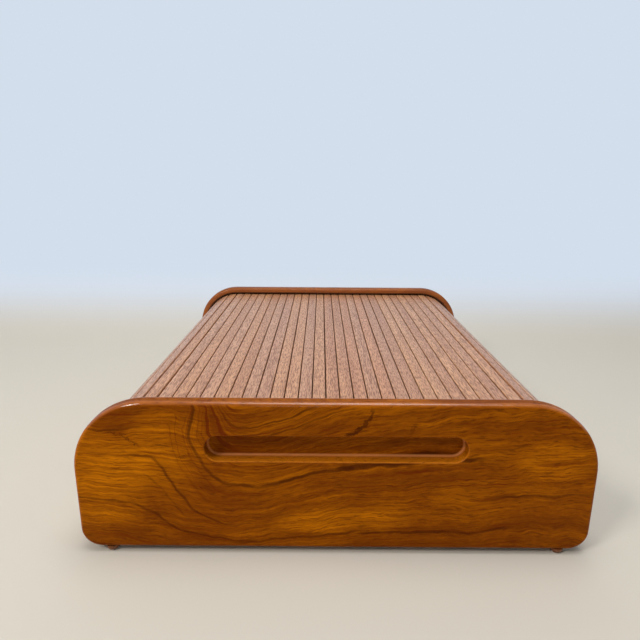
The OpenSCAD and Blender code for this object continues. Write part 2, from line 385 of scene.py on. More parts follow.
# %% The group that turns the distance across the rings into bands and dark lines
@shader_group("year_rings", Rings=0.0, Place=ORIGIN, Spacing=6.0, Line_Share=0.3, Ripple=0.4)
def ring_group(given):
    """Bands is 0 to 1 from golden to brown, and Lines is a mask of the dark lines."""
    small = noise(vector_maths("MULTIPLY", given["Place"], (90.0, 420.0, 420.0)))
    shake = (small - 0.5) * (given["Ripple"] * 2.0)
    counted = (given["Rings"] + shake) / given["Spacing"]
    fine = noise_along(counted + 31.7, 1.6, 1.5)
    edge = 0.74 - given["Line Share"] * 0.25
    fade = soft_mask(noise(given["Place"], 28.0, 1.0), 0.32, 0.62)
    return {"Bands": soft_mask(noise_along(counted, 0.35, 2.0), 0.3, 0.7),
            "Lines": soft_mask(fine, edge, edge + 0.12) * fade}


# %% [markdown]
# ### Fibres and pores
#
# Under the rings lies a finer texture. Fibres give faint streaks along the board, and teak's open
# pores show as short dark dashes. Both are noise that is squeezed across the grain and stretched
# along it. The pores keep only its highest values, which leaves separate dashes, and they also
# sink the surface a little.

# %% The group that makes streaks, pores and their relief
@shader_group("fibres_and_pores", Along=ORIGIN, Fibre_Length=0.02, Fibre_Width=0.0007,
              Pore_Length=0.004, Pore_Width=0.0004, Pore_Share=0.4)
def fibre_group(given):
    """Along is a place with X along the fibres. Streaks is 0 to 1 and Pores is a mask."""
    streaks = noise(squeezed(given["Along"], given["Fibre Length"], given["Fibre Width"]),
                    detail=3.0)
    dashes = noise(squeezed(given["Along"], given["Pore Length"], given["Pore Width"]),
                   detail=1.0)
    edge = 0.72 - given["Pore Share"] * 0.22
    pores = soft_mask(dashes, edge, edge + 0.09)
    return {"Streaks": soft_mask(streaks, 0.28, 0.72), "Pores": pores,
            "Relief": streaks * 0.35 - pores * 0.65}


# %% [markdown]
# ### Shimmer
#
# Where the fibres rise and dip, oiled teak looks lighter and more golden in broad cloudy
# patches, and a fine ripple crosses the grain. It could be left to the shader's anisotropy, but
# the effect is mostly colour, so a group mixes a cloudy and a rippled noise into one value.

# %% The group for the golden, cloudy patches
@shader_group("golden_shimmer", Along=ORIGIN, Patch_Length=0.07, Patch_Width=0.02, Ripple=0.3)
def shimmer_group(given):
    """Shimmer is 0 in the deep parts and 1 in the golden ones."""
    clouds = noise(squeezed(given["Along"], given["Patch Length"], given["Patch Width"]))
    ripple = noise(vector_maths("MULTIPLY", given["Along"], (260.0, 900.0, 300.0)))
    return {"Shimmer": soft_mask(clouds + (ripple - 0.5) * given["Ripple"], 0.3, 0.7)}


# %% [markdown]
# ### Worn edges
#
# Hands and cloths rub a rounded edge first: the wood there looks lighter and shines a little
# more. The edges here are real rounded geometry, so the surface's own direction tells where they
# are: on the flat faces it is square to the piece's axis or along it, and on a rounded edge it is
# in between. A broken noise keeps the wear uneven.

# %% The group that finds a piece's rounded edges
@shader_group("worn_edges", Normal=(0.0, 0.0, 1.0), Axis=(0.0, 1.0, 0.0), Place=ORIGIN,
              Breakup=0.5)
def edge_group(given):
    """Axis is the direction square to the piece's main face. Wear and Rounding are masks."""
    straight = abs(step("ShaderNodeVectorMath", (given["Normal"], given["Axis"]), "Value",
                        operation="DOT_PRODUCT"))
    rounding = soft_mask(straight * (1.0 - straight), 0.04, 0.22)
    broken = soft_mask(noise(given["Place"], 140.0, 3.0), 0.35, 0.65)
    return {"Wear": rounding * (1.0 - given["Breakup"] * broken), "Rounding": rounding}


# %% [markdown]
# ## Finishes
#
# Every wood on the box but the dowels' beech is teak, and each piece shows it differently: the
# oiled end panels are deep orange-brown with strong figure, the slats are paler and show mostly
# pores, and the boards inside are bare. Colours are written as a screen shows them and turned
# into the linear values that a shader needs.

# %% Helpers for colours, grain directions and materials
def paint(red, green, blue):
    """A linear RGBA colour from screen values of 0 to 255."""
    def linear(value):
        share = value / 255
        return share / 12.92 if share <= 0.04045 else ((share + 0.055) / 1.055) ** 2.4
    return (linear(red), linear(green), linear(blue), 1.0)


def grain_space(place, order, shift=None):
    """A place with its axes in another order, so that X runs along the fibres."""
    parts = dict(zip("XYZ", parts_of(place)))
    turned = joined(*(parts[letter] for letter in order))
    return turned if shift is None else vector_maths("ADD", turned, shift)


def start_material(name):
    """A material with a Principled shader. Returns it, the shader and the coordinates."""
    material = bpy.data.materials.new(name)
    material.use_nodes = True
    tree = material.node_tree
    tree.nodes.clear()
    shader = tree.nodes.new("ShaderNodeBsdfPrincipled")
    surface = tree.nodes.new("ShaderNodeOutputMaterial")
    tree.links.new(shader.outputs[0], surface.inputs[0])
    return material, shader, add_node(tree, "ShaderNodeTexCoord")


def add_relief(shader, height, depth, strength=0.5):
    """Feeds a height to the shader's normal through a bump node. Depth is in metres."""
    fill(shader, Normal=add_node(height.tree, "ShaderNodeBump", Height=height,
                                 Strength=strength, Distance=depth)["Normal"])


# %% [markdown]
# ### Lines that stand out on the end panels
#
# A few rings stand out on the real board and are drawn as lines of their own: each has its ring's
# height, a width, a strength and the stretch of the board on which it shows. Short crooked marks,
# where a fault ran through the wood, don't follow the rings, so they run between two points and
# are frayed by noise. Golden patches are soft ovals.

# %% Masks for rings, patches and crooked marks
LINE_FADE = 22.0
FRAY_SCALE, FRAY_REACH = 420.0, 6.0
MARK_FADE = 5.0


def single_ring(figure, x, ring):
    """The mask of one ring: its height at the left end, width, strength, left and right end."""
    height, width, strength, left, right = ring
    off = abs(figure["Rings"] - height) / figure["Crowding"]
    line = soft_mask(off, width * 0.2, width * 0.75, strength, 0.0)
    return line * stretch(x, left, right, LINE_FADE)


def patch(x, z, spot):
    """The soft mask of an oval patch: its middle in x and z, its half width and half height."""
    middle_x, middle_z, half_width, half_height = spot
    off_x, off_z = (x - middle_x) / half_width, (z - middle_z) / half_height
    return falling(off_x * off_x + off_z * off_z, 0.2, 1.3)


def crooked_mark(x, z, place, mark):
    """The mask of a short dark mark between two points, bent by bulge and frayed by noise."""
    (x0, z0), (x1, z1), bulge, width, strength = mark
    length = math.hypot(x1 - x0, z1 - z0)
    ux, uz = (x1 - x0) / length, (z1 - z0) / length
    from_x, from_z = x - x0, z - z0
    along = from_x * ux + from_z * uz
    share = clamped(along / length)
    bend = (share - share * share) * (4.0 * bulge)
    fray = (noise(place, FRAY_SCALE) - 0.5) * FRAY_REACH
    off = abs(from_z * ux - from_x * uz + bend + fray)
    line = soft_mask(off, width * 0.3, width, strength, 0.0)
    return line * stretch(along, -2.0, length + 2.0, MARK_FADE)


# %% [markdown]
# ### The recess and the inner face
#
# Some light and shade is painted into the panel's colour here. The recess's lower wall, which
# faces up, is painted golden as painted light from above, with pores on it, and a painted
# highlight runs along the rounded corner round its floor. The inner face is paler and pinker,
# partly as bare wood and partly as a painted sheen, and its groove, with a band just above it, is
# painted dark as painted shade. One material covers a whole panel, so masks find these places
# from where they lie.

# %% Masks for the recess, the inner face and the groove
# The finger recess, in mm: half its straight part, its radius, its middle's height, its floor
RECESS_STRAIGHT, RECESS_RADIUS, RECESS_HEIGHT, RECESS_FLOOR = 79.25, 9.25, 81.0, 193.0
# The panels, in mm: half width, top, top corner radius, and how far out the inner face lies
HALF_WIDTH, PANEL_TOP, TOP_CORNER, INNER_FACE = 178.0, 114.0, 51.0, 190.0


def recess_masks(x, y, z):
    """Masks of painted light on the recess's lower wall and of a painted highlight along the
    rounded corner round its floor.
    """
    off = z - RECESS_HEIGHT
    out = distance(largest(abs(x) - RECESS_STRAIGHT, 0.0), off)
    depth = abs(y)
    wall = stretch(out, RECESS_RADIUS - 0.6, RECESS_RADIUS + 0.8, 0.3) * stretch(
        depth, RECESS_FLOOR + 1.6, RECESS_FLOOR + 9.0, 0.5)
    # corner is a painted highlight along the rounded corner round the floor.
    corner = stretch(out, RECESS_RADIUS - 2.0, RECESS_RADIUS + 0.2, 0.8) * stretch(
        depth, RECESS_FLOOR - 0.4, RECESS_FLOOR + 2.2, 0.8)
    # Only the lower wall gets the painted light, so the end walls keep their shade.
    return wall * falling(off, -7.0, -3.0), corner


def rim_distance(x, z):
    """Distance from the middle of the nearest top corner's arc, as far as the outline."""
    past_x = largest(TOP_CORNER - (HALF_WIDTH - abs(x)), 0.0)
    past_z = largest(TOP_CORNER - (PANEL_TOP - z), 0.0)
    return distance(past_x, past_z)


def inside_masks(normal, x, y, z):
    """Masks of a panel's inner face, paler in part as a painted sheen, and of painted shade in the
    groove and just above it.
    """
    # The inner face is made paler and pinker, partly as bare wood and partly as a painted sheen.
    inner = falling(parts_of(normal)[1] * maths("SIGN", y), -0.9, -0.5)
    off = rim_distance(x, z)
    above = largest(soft_mask(z, 93.0, 96.0), soft_mask(abs(x), 110.0, 120.0))
    # The groove is painted dark as painted shade.
    groove = above * stretch(abs(y), INNER_FACE + 0.1, INNER_FACE + 6.6, 0.3)
    # A rounded rim lies at the same depth as the groove, but nearer the outline.
    groove = groove * falling(off, TOP_CORNER - 5.5, TOP_CORNER - 5.0)
    # Painted shade also darkens the inner face just above the groove.
    shade_above_groove = inner * stretch(off, TOP_CORNER - 9.0, TOP_CORNER - 5.4, 0.8)
    return inner, largest(groove, shade_above_groove)


# %% [markdown]
# ### The oiled end panels
#
# The panel's colour is built up as a painter would do it, from broad to fine: honey and gold
# first, then soft bands, streaks that follow the rings, reddish lines that crowd on the steep
# flank, the dark rings and marks, the pores, and last worn edges with some painted light and
# shade:
# a painted highlight on the front rim, painted light and a painted highlight in the recess, a
# painted sheen on the inner face and painted shade in the groove. Oil leaves little gloss, so the
# wood keeps its deep colour even when it faces a pale floor. Only the rounded upper edge, which
# hands polish, has a thin coat that draws a bright line along it.

# %% The figured teak of the end panels
GOLD, HONEY, BROWN = paint(222, 130, 3), paint(150, 79, 2), paint(106, 47, 2)
RED_BROWN, DARK_LINE, PORE_BROWN = paint(100, 34, 3), paint(60, 19, 2), paint(84, 36, 3)
# Worn edges with a painted highlight, painted light on the recess's lower wall, and a painted
# highlight round the recess's floor.
WORN_EDGE_AND_HIGHLIGHT, LEDGE_PAINTED_LIGHT, CORNER_PAINTED_HIGHLIGHT = paint(206, 118, 46), paint(204, 122, 24), paint(214, 140, 84)
# An inner face that is partly bare and partly a painted sheen, and painted shade in the groove.
BARE_FACE_AND_SHEEN, GROOVE_PAINTED_SHADE = paint(180, 108, 66), paint(46, 22, 8)
# Stretches of the board in mm: left end, right end and how soft the ends are
DENSE_STRETCH = (-116.0, -50.0, 24.0)
REDDISH_STRETCH = (-128.0, -52.0, 34.0)
RIM_COAT_ROUGHNESS = 0.11
PANEL_RELIEF = 0.12 * MM


def panel_teak(name, slide, rings, marks, patches, strength, gloss, rim_gloss, seed):
    """Oiled teak whose figure is slid along the board, with its rings, marks and patches."""
    material, shader, coordinates = start_material(name)
    place, normal = coordinates["Object"], coordinates["Normal"]
    figure = place_group(figure_group, Place=place, Slide=slide, Wander=3.4)
    from_middle, y, z = parts_of(in_mm(place))
    x = from_middle - slide
    along = joined(from_middle * MM + seed, figure["Level"] * MM, y * MM)
    drawn = place_group(ring_group, Rings=figure["Rings"], Place=along, Spacing=9.0,
                        Line_Share=0.5, Ripple=1.2)
    fibres = place_group(fibre_group, Along=along, Fibre_Length=0.034, Fibre_Width=0.0013,
                         Pore_Length=0.008, Pore_Width=0.0006, Pore_Share=0.7)
    dashes = place_group(fibre_group, Along=along, Fibre_Length=0.05, Fibre_Width=0.0032,
                         Pore_Length=0.024, Pore_Width=0.0011, Pore_Share=0.5)
    golden = place_group(shimmer_group, Along=along, Patch_Length=0.05, Patch_Width=0.024,
                         Ripple=0.5)["Shimmer"] * 0.4
    for spot in patches:
        golden = clamped(patch(x, z, spot) * 0.62 + golden)
    # The flank's upper part is full of reddish lines.
    dense = soft_mask(noise_along(figure["Rings"], 0.075, 1.5), 0.46, 0.66) * stretch(
        x, *DENSE_STRETCH) * soft_mask(z, 58.0, 88.0)
    reddish = clamped(drawn["Lines"] * 0.5 + dashes["Pores"] * 0.4)
    reddish = largest(reddish, stretch(x, *REDDISH_STRETCH) * 0.3)
    reddish = largest(reddish, dense * 0.85)
    lines = 0.0
    for ring in rings:
        lines = largest(lines, single_ring(figure, x, ring))
    for mark in marks:
        lines = largest(lines, crooked_mark(x, z, place, mark))
    # Lines fade in places. On faces that look up they fade more: painted light, standing in for
    # the highlight that washes them out on the upper edge.
    broken = soft_mask(noise(place, 75.0, 3.0), 0.34, 0.66, 1.0, 0.65)
    up = parts_of(normal)[2]
    # Painted highlight: lines and reddish streaks are faded on faces that look up.
    highlight_fade = soft_mask(up, 0.3, 0.8, strength, strength * 0.25)
    edges = place_group(edge_group, Normal=normal, Place=place)
    # wall is painted light on the recess's lower wall, corner a painted highlight round its floor.
    wall, corner = recess_masks(from_middle, y, z)
    # inner is the inner face, partly a painted sheen. groove is painted shade in and just above
    # the groove.
    inner, groove = inside_masks(normal, from_middle, y, z)
    colour = layered(blend(golden, HONEY, GOLD), [
        (drawn["Bands"] * (0.6 - golden * 0.4), BROWN),
        (dashes["Streaks"] * 0.42, BROWN),
        (fibres["Streaks"] * 0.52, BROWN),
        (reddish * highlight_fade, RED_BROWN),
        (lines * broken * highlight_fade, DARK_LINE),
        (fibres["Pores"] * 0.5, PORE_BROWN),
        # Worn edges. The extra share that rim_gloss adds on the front panel's rim is a painted
        # highlight.
        (edges["Wear"] * (0.08 + 0.27 * rim_gloss), WORN_EDGE_AND_HIGHLIGHT),
        # Painted light: the recess's lower wall, which faces up, is made golden, with pores on it.
        (wall * 0.5, LEDGE_PAINTED_LIGHT),
        (fibres["Pores"] * (wall * 0.5), PORE_BROWN),
        # Painted highlight along the rounded corner round the recess's floor.
        (corner * 0.5, CORNER_PAINTED_HIGHLIGHT),
        # Inner face: bare wood, with a painted sheen in part.
        (inner * 0.35, BARE_FACE_AND_SHEEN),
        # Painted shade in the groove and just above it.
        (groove * 0.8, GROOVE_PAINTED_SHADE)])
    rough = fibres["Pores"] * 0.16 + 0.34 + fibres["Streaks"] * 0.06 - edges["Wear"] * 0.14
    coat = edges["Rounding"] * soft_mask(up, 0.05, 0.35) * soft_mask(z, 93.0, 97.0) * rim_gloss
    fill(shader, Base_Color=colour, Roughness=rough, Specular_IOR_Level=gloss,
         Coat_Weight=coat, Coat_Roughness=RIM_COAT_ROUGHNESS)
    add_relief(shader, fibres["Relief"], PANEL_RELIEF)
    return material


# %% [markdown]
# ### What shows on each panel
#
# The front panel has the rings, marks and golden patches of the picture. The strongest mark is a
# crooked dark one between the recess and the top edge. The far panel is sawn from the next board
# of the same plank, so its figure sits elsewhere and is fainter.

# %% The two panels' rings, marks and patches, all in millimetres
# Rings: height at the left end, width, strength, left and right end
FRONT_RINGS = [(42, 1.7, 0.62, -200, -50), (40, 1.7, 0.55, -80, 30), (36, 1.8, 0.7, 5, 135),
               (75, 1.7, 0.6, -152, -62), (62, 1.2, 0.3, -190, -90), (80, 1.6, 0.6, 92, 190),
               (96, 1.7, 0.6, -200, -125), (135, 2, 0.7, -120, -40), (135, 2.8, 0.85, -66, 110),
               (137, 2.8, 0.95, -14, 56), (232, 1.3, 0.65, -86, 0), (214, 1.2, 0.6, -72, 16)]
# Marks: first point, last point, bulge, width and strength
FRONT_MARKS = [((6, 91), (24, 110), 3.5, 2.1, 1), ((-153, 93), (-131, 82), -2, 1.1, 0.5),
               ((49, 93), (53, 101), 0, 1.2, 0.4)]
# Golden patches: middle in x and z, half width and half height
FRONT_PATCHES = [(-112, 82, 32, 30), (-160, 55, 34, 40), (5, 27, 50, 12), (150, 72, 30, 16)]
BACK_RINGS = [(60, 1.3, 0.6, -200, -60), (135, 1.6, 0.7, -120, 40), (85, 1, 0.5, 20, 150)]
BACK_PATCHES = [(-120, 70, 40, 30), (60, 40, 50, 16)]
front_teak = panel_teak("front_panel_teak", 0.0, FRONT_RINGS, FRONT_MARKS, FRONT_PATCHES,
                        strength=1.0, gloss=0.03, rim_gloss=0.9, seed=0.0)
back_teak = panel_teak("back_panel_teak", 64.0, BACK_RINGS, [], BACK_PATCHES,
                       strength=0.8, gloss=0.2, rim_gloss=0.0, seed=3.1)
print("front panel:", len(FRONT_RINGS), "rings and", len(FRONT_MARKS), "marks")

# %% [markdown]
# ### Slats, boards and feet
#
# The slats are ripped from many boards, so neighbours differ in tone. Each slat's mesh holds
# three attributes: how pale it is, how greyish or reddish, and a random shift that moves its
# pores, so that no two slats look alike although they share one material. Boards and feet use the
# same groups with the grain turned their way.

# %% Plain teak for slats, boards and feet
ACROSS_X, ACROSS_Z = (1.0, 0.0, 0.0), (0.0, 0.0, 1.0)
GREYISH_BOARD, REDDISH_BOARD = paint(190, 146, 120), paint(190, 122, 84)
PLAIN_COAT, PLAIN_COAT_ROUGHNESS = 0.25, 0.25
PLAIN_RELIEF = 0.15 * MM


def board_attribute(material, label):
    """What a mesh says of its own board: its tone, hue or shift."""
    return add_node(material.node_tree, "ShaderNodeAttribute",
                    {"attribute_name": "board_" + label})


def plain_teak(name, order, tones, pore_colour, gloss, pore_share=0.5, varied=False,
               axis=ACROSS_Z):
    """Straight-grained teak. tones are a pale, a middle and a deep colour."""
    material, shader, coordinates = start_material(name)
    pale, middle, deep = tones
    shift = board_attribute(material, "shift")["Vector"] if varied else None
    along = grain_space(coordinates["Object"], order, shift)
    bend = noise(vector_maths("MULTIPLY", along, (5.0, 22.0, 22.0)), detail=1.0)
    drawn = place_group(ring_group, Rings=(bend * 0.02 + parts_of(along)[1]) / MM, Place=along,
                        Spacing=3.4, Line_Share=0.25, Ripple=0.3)
    fibres = place_group(fibre_group, Along=along, Fibre_Length=0.03, Fibre_Width=0.0012,
                         Pore_Length=0.0065, Pore_Width=0.00062, Pore_Share=pore_share)
    shimmer = place_group(shimmer_group, Along=along, Patch_Length=0.09, Patch_Width=0.03,
                          Ripple=0.35)["Shimmer"]
    if varied:
        tone, hue = (board_attribute(material, label)["Fac"] for label in ("tone", "hue"))
        colour = layered(blend(tone, middle, pale), [
            (shimmer * 0.35, pale),
            (soft_mask(hue, 0.1, 1.0, 0.0, 0.4), GREYISH_BOARD),
            (soft_mask(hue, -0.1, -1.0, 0.0, 0.4), REDDISH_BOARD)])
    else:
        colour = blend(shimmer, middle, pale)
    edges = place_group(edge_group, Normal=coordinates["Normal"], Axis=axis, Place=along,
                        Breakup=0.6)
    colour = layered(colour, [
        (drawn["Bands"] * 0.35, deep),
        (fibres["Streaks"] * 0.35, deep),
        (drawn["Lines"] * 0.3, pore_colour),
        (fibres["Pores"] * 0.6, pore_colour),
        (edges["Wear"] * 0.3, pale)])
    rough = fibres["Pores"] * 0.15 + (0.62 - 0.26 * gloss) + fibres["Streaks"] * 0.07
    fill(shader, Base_Color=colour, Roughness=rough, Coat_Weight=PLAIN_COAT * gloss,
         Coat_Roughness=PLAIN_COAT_ROUGHNESS)
    add_relief(shader, fibres["Relief"], PLAIN_RELIEF)
    return material


SLAT_TONES = (paint(214, 158, 110), paint(192, 134, 90), paint(150, 92, 56))
INNER_TONES = (paint(196, 140, 88), paint(172, 114, 66), paint(140, 86, 46))
FOOT_TONES = (paint(140, 78, 24), paint(112, 58, 16), paint(80, 38, 10))
BEECH_TONES = (paint(226, 190, 140), paint(210, 170, 118), paint(186, 142, 92))
BARE_PORES = paint(96, 56, 30)
slat_teak = plain_teak("slat_teak", "YXZ", SLAT_TONES, paint(98, 50, 24), 1.0, 1.1, True)
board_teak = plain_teak("side_board_teak", "YZX", (GOLD, HONEY, BROWN), PORE_BROWN, 0.5,
                        axis=ACROSS_X)
inner_teak = plain_teak("bare_inner_teak", "YXZ", INNER_TONES, BARE_PORES, 0.0)
wall_teak = plain_teak("bare_wall_teak", "YZX", INNER_TONES, BARE_PORES, 0.0, axis=ACROSS_X)
foot_teak = plain_teak("turned_foot_teak", "ZXY", FOOT_TONES, paint(50, 22, 8), 0.5)
dowel_beech = plain_teak("dowel_beech_wood", "YXZ", BEECH_TONES, paint(150, 106, 66), 0.0)
print("kinds of wood:", len(bpy.data.materials))

# %% [markdown]
# ### The canvas
#
# The slats are glued to canvas, which shows between them from inside and at the lid's tail. Its
# weave is two waves at right angles: where one thread rises the other dips, so the height is a
# chequer of small bumps. A noise makes some threads thicker and paler than others, and a broad one
# lays stains of old glue over them.

# %% The group that weaves the canvas, and its finish
@shader_group("canvas_weave", Place=ORIGIN, Thread=0.0009)
def weave_group(given):
    """Threads is the height of the weave, and Slubs is a mask of thick threads."""
    x, y, _ = parts_of(given["Place"])
    turn = math.pi / given["Thread"]
    chequer = maths("SINE", x * turn) * maths("SINE", y * turn)
    uneven = noise(vector_maths("MULTIPLY", given["Place"], (1500.0, 90.0, 90.0)))
    return {"Threads": chequer * 0.5 + 0.5, "Slubs": soft_mask(uneven, 0.5, 0.7)}


def make_canvas():
    """Brown canvas, with stains of glue."""
    material, shader, coordinates = start_material("lid_canvas")
    place = coordinates["Object"]
    woven = place_group(weave_group, Place=place)
    stain = soft_mask(noise(place, 30.0, 3.0), 0.35, 0.7)
    colour = layered(blend(woven["Threads"], paint(104, 66, 40), paint(142, 96, 62)), [
        (woven["Slubs"] * 0.5, paint(160, 116, 80)), (stain * 0.4, paint(120, 84, 50))])
    fill(shader, Base_Color=colour, Roughness=0.92 - stain * 0.1, Sheen_Weight=0.2)
    add_relief(shader, woven["Threads"], 0.2 * MM, 0.7)
    return material


canvas_cloth = make_canvas()

# %% [markdown]
# ## Reading the curtain's place from the frame
#
# The curtain follows a track with round bends, so its slats lie at many angles. The track could
# be worked out again here, but each slat of the frame already says how it lies: its largest flat
# faces look straight out of the box or straight in, and its end face gives its width and the
# level of the canvas. From these comes a matrix that stands a new slat in the same place.

# %% Find how each slat lies on the track
box_low, box_high = cad_box
box_middle = (box_low + box_high) / 2
ALONG = Vector((0.0, 1.0, 0.0))


def outward(mesh):
    """The direction out of the box, square to the slat's largest flat faces."""
    areas = {}
    for face in mesh.polygons:
        if abs(face.normal.y) < 0.5:
            key = (round(face.normal.x, 2), round(face.normal.z, 2))
            best = areas.setdefault(key, [0.0, 0.0, None])
            best[0] += face.area
            if face.area > best[1]:
                best[1:] = [face.area, face.normal.copy()]
    direction = max(areas.values(), key=lambda item: item[0])[2]
    centre = sum((v.co for v in mesh.vertices), Vector()) / len(mesh.vertices)
    from_middle = centre - box_middle
    from_middle.y = 0.0
    return direction if direction.dot(from_middle) > 0 else -direction


def lie_of(node):
    """Matrix from a slat's own space (X across, Y along, Z out), and its width, thickness
    and half length."""
    mesh = nodes[node].data
    out = outward(mesh)
    across = ALONG.cross(out)
    end_y = max(v.co.y for v in mesh.vertices)
    end_face = [v.co for v in mesh.vertices if v.co.y > end_y - 0.1 * MM]
    sides = [p.dot(across) for p in end_face]
    levels = [p.dot(out) for p in end_face]
    base = min(levels)
    matrix = Matrix((across, ALONG, out)).transposed().to_4x4()
    matrix.translation = across * (max(sides) + min(sides)) / 2 + out * base
    return matrix, (max(sides) - min(sides), max(levels) - base, end_y)


slat_names = sorted(n for n in nodes if n.startswith("slat_"))
print("slats:", len(slat_names), "width in mm:", round(lie_of(slat_names[0])[1][0] / MM, 3))

# %% [markdown]
# ## Making meshes
#
# A slat is one section drawn many times along its length, so a loft suits it: a list of outlines,
# joined by quads and closed at both ends. Extruding a single outline would be shorter, but a
# scripted loft keeps the edges round and lets each slat be a little crooked, as real ones are.

# %% Loft, finish and placing of a new piece
SHARP_ANGLE = math.radians(40)


def loft(outlines):
    """A closed solid through outlines with equal numbers of points."""
    bm = bmesh.new()
    rings = [[bm.verts.new(point) for point in outline] for outline in outlines]
    count = len(rings[0])
    for near, far in zip(rings, rings[1:]):
        for index in range(count):
            after = (index + 1) % count
            bm.faces.new((near[index], near[after], far[after], far[index]))
    bm.faces.new(rings[0][::-1])
    bm.faces.new(rings[-1])
    bmesh.ops.recalc_face_normals(bm, faces=bm.faces)
    return bm


def finish_piece(bm, name, material, replaced, matrix=None):
    """Turns a bmesh into a smooth-shaded object that rides on the replaced node's body."""
    mesh = bpy.data.meshes.new(name)
    bm.to_mesh(mesh)
    bm.free()
    mesh.shade_smooth()
    mesh.set_sharp_from_angle(angle=SHARP_ANGLE)
    mesh.materials.append(material)
    piece = new_object(name, mesh)
    if matrix is not None:
        piece.matrix_world = matrix
    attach(piece, nodes[replaced].parent.name.removeprefix("body:"))
    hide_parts(replaced)
    return piece


# %% [markdown]
# ### The slats
#
# Each slat is planed flat and has its two outer edges broken to a small round, so light catches a
# thin line beside every gap. No slat is perfect: each one bows sideways by up to a tenth of a
# millimetre, is planed a hair narrower in places, and leans by a fraction of a degree. These
# errors are what makes the gaps between real slats differ.

# %% Build the slats
SLAT_ROUND = 0.6 * MM
ROUND_STEPS = 5
SLAT_STATIONS = 25
SLAT_BOW = 0.10 * MM
SLAT_THINNING = 0.12 * MM
SLAT_WAVE = 0.03 * MM
WAVE_TURNS, THINNING_TURNS = 1.5, 2.3
chance = random.Random(42)


def slat_outline(width, thick, lean):
    """Half-turn of points from the lower right corner over the top to the lower left."""
    points = [(width / 2, 0.0)]
    for side in (1, -1):
        middle_x = side * (width / 2 - SLAT_ROUND)
        for corner in range(ROUND_STEPS + 1):
            angle = math.pi / 2 * (corner / ROUND_STEPS + (0 if side > 0 else 1))
            x = middle_x + SLAT_ROUND * math.cos(angle)
            z = thick - SLAT_ROUND * (1 - math.sin(angle))
            points.append((x, z - lean * (1 + side * x / width * 2) / 2))
    points.append((-width / 2, 0.0))
    return points


def slat_mesh(width, thick, end_y):
    """One slat in its own space, with its small errors."""
    bow = chance.uniform(-1, 1) * SLAT_BOW
    thinning = chance.uniform(0, 1) * SLAT_THINNING
    lean = chance.uniform(0, 1) * SLAT_WAVE * 2
    phase = chance.uniform(0, math.tau)
    outlines = []
    for station in range(SLAT_STATIONS):
        share = station / (SLAT_STATIONS - 1)
        y = end_y * (2 * share - 1)
        swell = math.sin(math.pi * share)
        wave = SLAT_WAVE * (math.sin(math.tau * WAVE_TURNS * share + phase) - 1) * swell
        uneven = 0.6 + 0.4 * math.sin(math.tau * THINNING_TURNS * share + phase)
        outline = slat_outline(width - thinning * swell * uneven, thick - lean * swell,
                               lean * swell)
        outlines.append([(x + bow * swell, y, z + (wave if z > 0 else 0.0))
                         for x, z in outline])
    return loft(outlines)


def mark_board(piece, tone, hue):
    """Gives a piece's mesh its own tone and hue, and a random shift of the grain."""
    mesh = piece.data
    count = len(mesh.vertices)
    shift = [chance.uniform(-5, 5) for _ in range(3)]
    for name, value in (("board_tone", tone), ("board_hue", hue)):
        mesh.attributes.new(name, "FLOAT", "POINT").data.foreach_set("value", [value] * count)
    mesh.attributes.new("board_shift", "FLOAT_VECTOR", "POINT").data.foreach_set(
        "vector", shift * count)


for node in slat_names:
    matrix, sizes = lie_of(node)
    slat = finish_piece(slat_mesh(*sizes), node + "_wood", slat_teak, node, matrix)
    mark_board(slat, chance.betavariate(2.0, 2.0), chance.uniform(-1, 1))
print("slats built:", len(slat_names), "with", len(slat.data.vertices), "points each")

# %% [markdown]
# ### The canvas strips
#
# The lid is held together by canvas glued across all the slats. In the frame it is a strip under
# each slat, so that every strip can move with its slat. The new strips keep that, with a soft
# rounded section and slightly uneven ends, as scissors leave them.

# %% Build the canvas strips
CANVAS_GLUE = 0.05 * MM
CANVAS_RAGGED = 0.25 * MM
CANVAS_ROUNDING = 0.3


def canvas_mesh(width, low, length):
    """A thin strip under a slat, from -length to length."""
    top = -CANVAS_GLUE
    inset = (top - low) * CANVAS_ROUNDING
    half = width / 2
    section = [(half - inset, low), (half, low + inset), (half, top - inset), (half - inset, top),
               (inset - half, top), (-half, top - inset), (-half, low + inset),
               (inset - half, low)]
    outlines = []
    for station in range(SLAT_STATIONS):
        y = length * (2 * station / (SLAT_STATIONS - 1) - 1)
        if station in (0, SLAT_STATIONS - 1):
            y -= math.copysign(chance.uniform(0, CANVAS_RAGGED), y)
        outlines.append([(x, y, z) for x, z in section])
    return loft(outlines)


def canvas_sizes(node, matrix):
    """Width, lowest level and half length of the canvas under a slat, from the frame."""
    own = [matrix.inverted() @ v.co for v in nodes[node].data.vertices]
    below = [p for p in own if p.z < -CANVAS_GLUE / 2]
    return (max(p.x for p in below) - min(p.x for p in below), min(p.z for p in below),
            max(p.y for p in below))


backed = slat_names + ["lead_rail"]
for node in backed:
    matrix, _ = lie_of(node)
    finish_piece(canvas_mesh(*canvas_sizes(node, matrix)), node + "_canvas", canvas_cloth,
                 node, matrix)
print("canvas strips built:", len(backed))

# %% [markdown]
# ### Boards and the lead rail
#
# These pieces have the right shape in the frame, but their edges are as sharp as glass, which no
# sanded board is. A copy of the frame's mesh is cleaned to its real corners, and a small bevel
# breaks every sharp edge. A bevel modifier would also do, but only after the mesh is welded, so
# both steps are done here in mesh code.

# %% Copy a board from the frame and break its edges
SANDED = 0.45 * MM
WELDED = 0.001 * MM
FLAT_ANGLE, EDGE_ANGLE = math.radians(0.5), math.radians(35)


